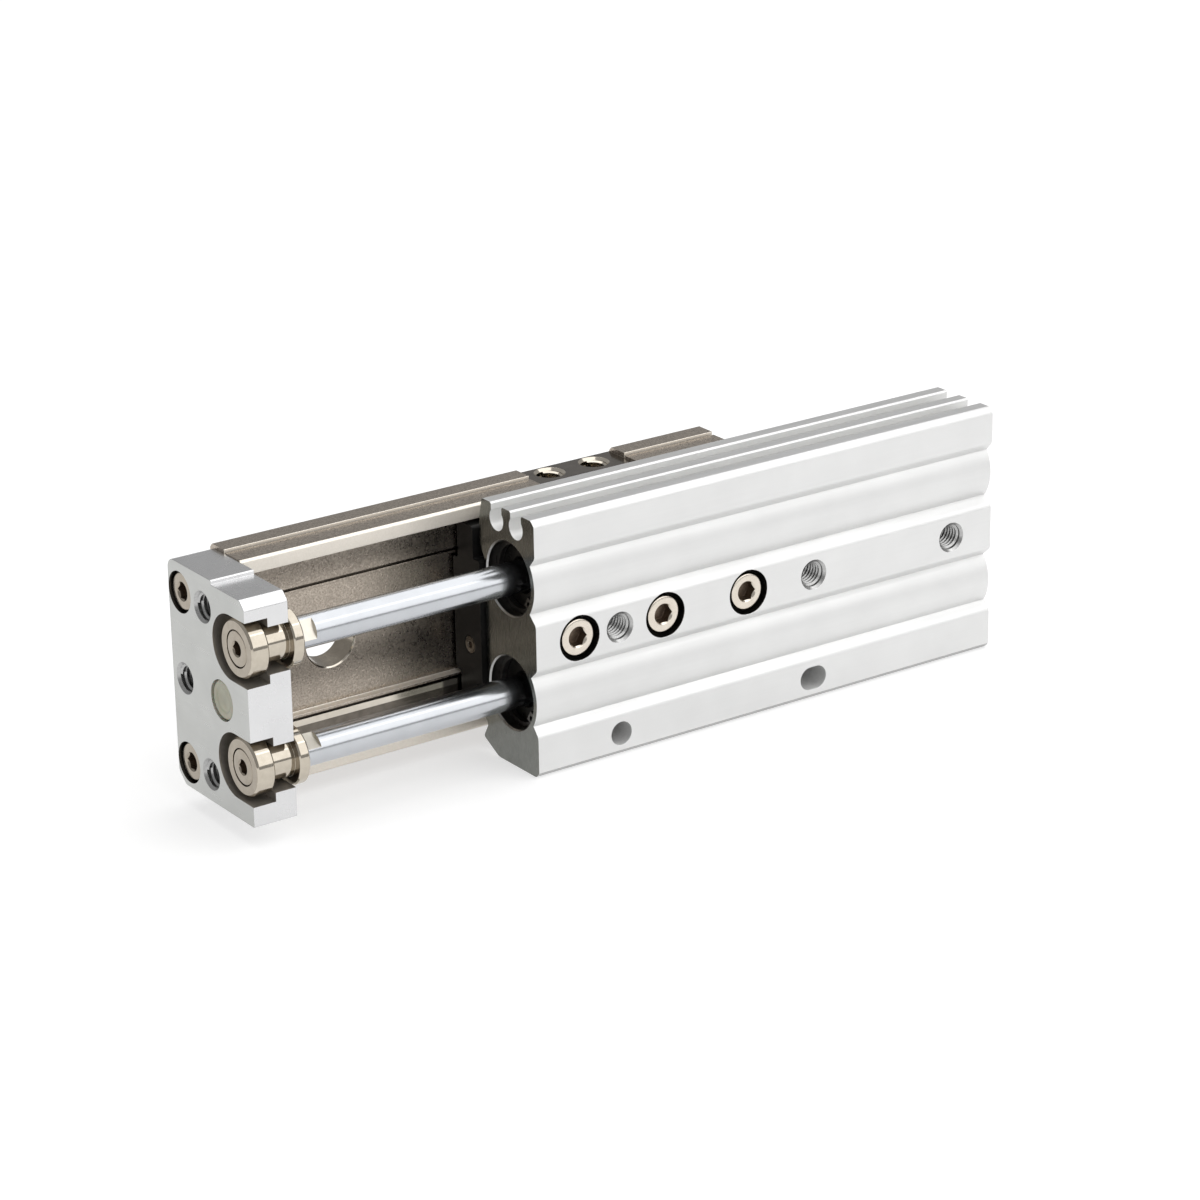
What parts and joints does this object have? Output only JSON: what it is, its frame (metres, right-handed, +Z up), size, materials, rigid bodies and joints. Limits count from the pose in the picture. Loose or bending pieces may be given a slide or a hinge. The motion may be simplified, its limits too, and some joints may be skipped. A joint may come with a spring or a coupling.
{
  "type": "pneumatic slide table",
  "caption": "Air slide table: twin cylinders in an extruded aluminium body drive a steel channel table on a ball guide through floating joints in an end plate.",
  "frame": {"origin": "middle of the mounting face, on the plane midway between the two cylinders", "axes": "+X along the stroke from the end plate towards the rear, so it draws the table in; +Y from the mounting face towards the table; +Z up as the part stands on its long side, towards the switch grooves"},
  "size_m": [0.1652, 0.031, 0.05],
  "materials": {
    "anodised_aluminium": "satin clear anodised",
    "nickel_plated_steel": "blasted and nickel plated, edges ground",
    "ground_steel": "ground",
    "black_plastic": "moulded, matte",
    "bright_nickel": "bright nickel plated",
    "hard_chrome": "polished hard chrome",
    "bearing_steel": "polished",
    "plain_aluminium": "turned",
    "spring_steel": "phosphated",
    "black_rubber": "moulded",
    "magnet_plastic": "plastic-bonded magnet",
    "pale_urethane": "translucent urethane"
  },
  "bodies": {
    "cylinder": {"body": "anodised_aluminium", "guide_block": "ground_steel", "front_return_cover": "black_plastic", "rear_return_cover": "black_plastic", "return_cover_screws": "bright_nickel", "guide_balls_upper": "bearing_steel", "guide_balls_lower": "bearing_steel", "guide_screws": "bright_nickel", "rod_gland_upper": "plain_aluminium", "rod_gland_lower": "plain_aluminium", "rod_seal_upper": "black_rubber", "rod_seal_lower": "black_rubber", "gland_oring_upper": "black_rubber", "gland_oring_lower": "black_rubber", "gland_ring_upper": "spring_steel", "gland_ring_lower": "spring_steel", "head_cap_upper": "plain_aluminium", "head_cap_lower": "plain_aluminium", "cap_oring_upper": "black_rubber", "cap_oring_lower": "black_rubber", "cap_ring_upper": "spring_steel", "cap_ring_lower": "spring_steel"},
    "carriage": {"table": "nickel_plated_steel", "end_plate": "anodised_aluminium", "end_plate_screws": "bright_nickel", "end_bumper": "pale_urethane", "rod_upper": "hard_chrome", "rod_lower": "hard_chrome", "joint_spool_upper": "bright_nickel", "joint_spool_lower": "bright_nickel", "joint_screws": "bright_nickel", "piston_upper": "plain_aluminium", "piston_lower": "plain_aluminium", "piston_seal_upper": "black_rubber", "piston_seal_lower": "black_rubber", "piston_magnet_upper": "magnet_plastic", "piston_magnet_lower": "magnet_plastic", "piston_bumper_upper": "black_rubber", "piston_bumper_lower": "black_rubber"}
  },
  "joints": [
    {"name": "table_slide", "type": "slide", "parent": "cylinder", "child": "carriage", "axis": [1, 0, 0], "range_m": [-0.0024, 0.0476]}
  ]
}
